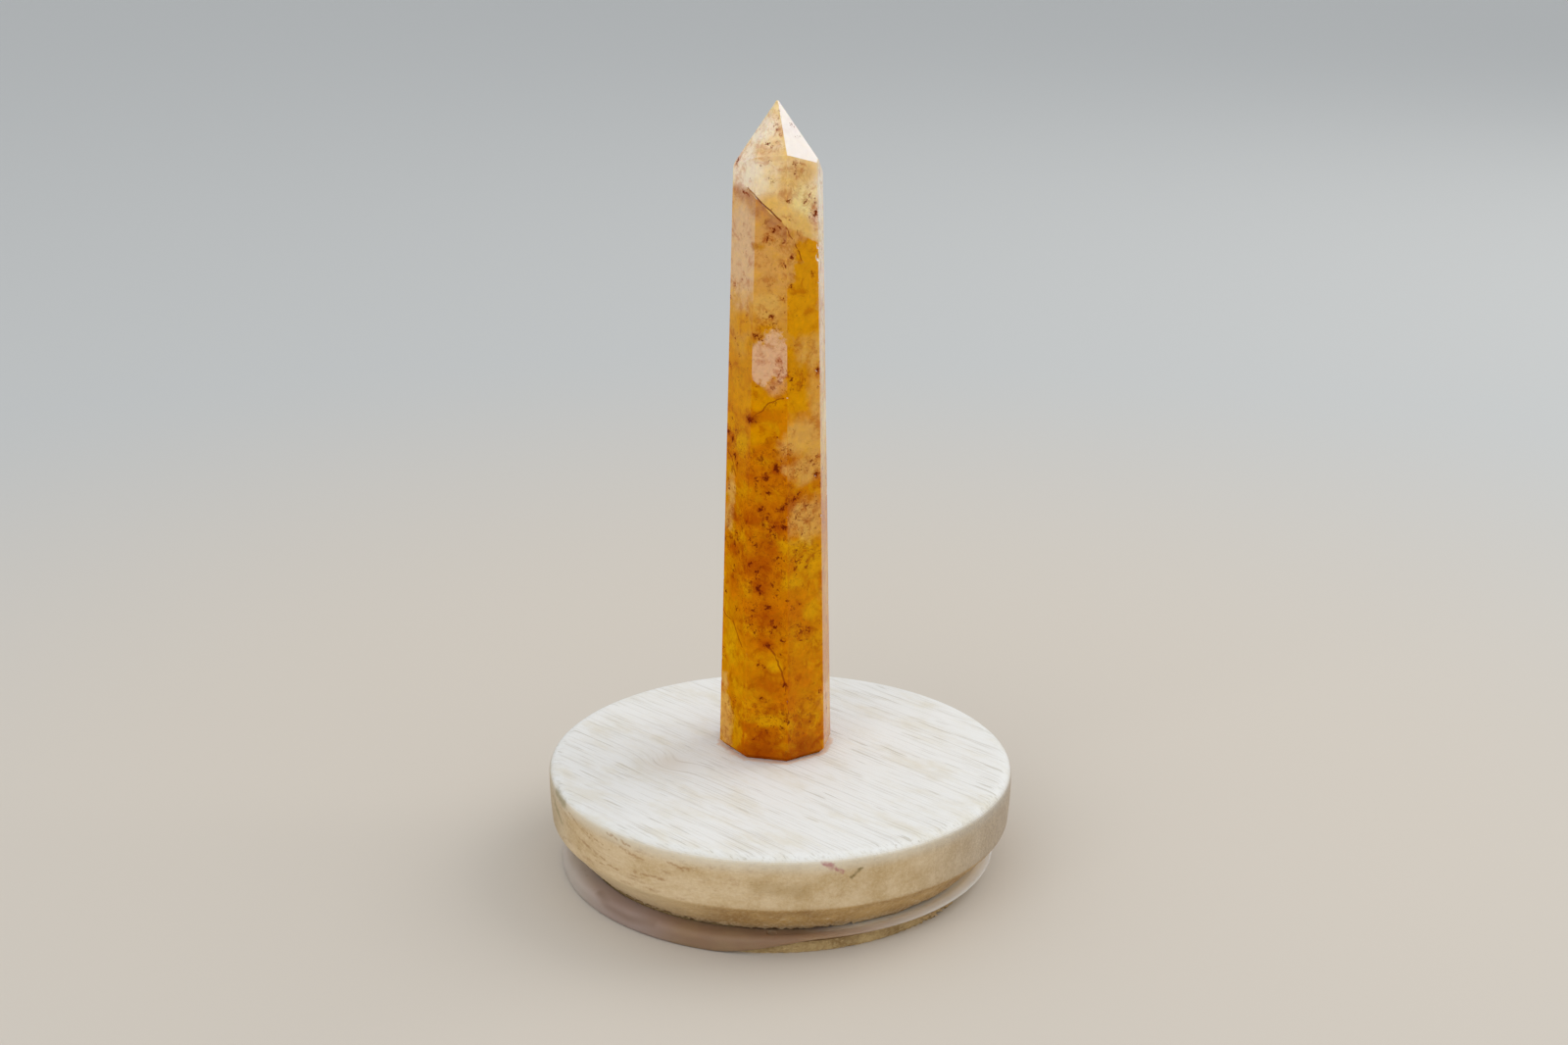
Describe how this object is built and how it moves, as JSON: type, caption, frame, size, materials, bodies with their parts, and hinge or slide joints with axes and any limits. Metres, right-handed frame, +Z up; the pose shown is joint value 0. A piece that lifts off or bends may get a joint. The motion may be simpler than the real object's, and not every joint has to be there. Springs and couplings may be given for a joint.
{
  "type": "quartz obelisk on a wooden lid",
  "caption": "Polished golden quartz obelisk with a faceted point, standing on a round wooden jar lid with a soft seal that serves as its stand.",
  "frame": {"origin": "on the lid's axis, in the plane that the lid rests on", "axes": "+Z up through the lid, -Y towards the front"},
  "size_m": [0.08, 0.08, 0.1304],
  "materials": {
    "wood": "matte",
    "plug_wood": "matte",
    "silicone": "satin",
    "quartz": "polished"
  },
  "bodies": {
    "root": {"lid_disc": "wood", "lid_plug": "plug_wood", "seal_ring": "silicone", "quartz_obelisk": "quartz"}
  },
  "joints": []
}
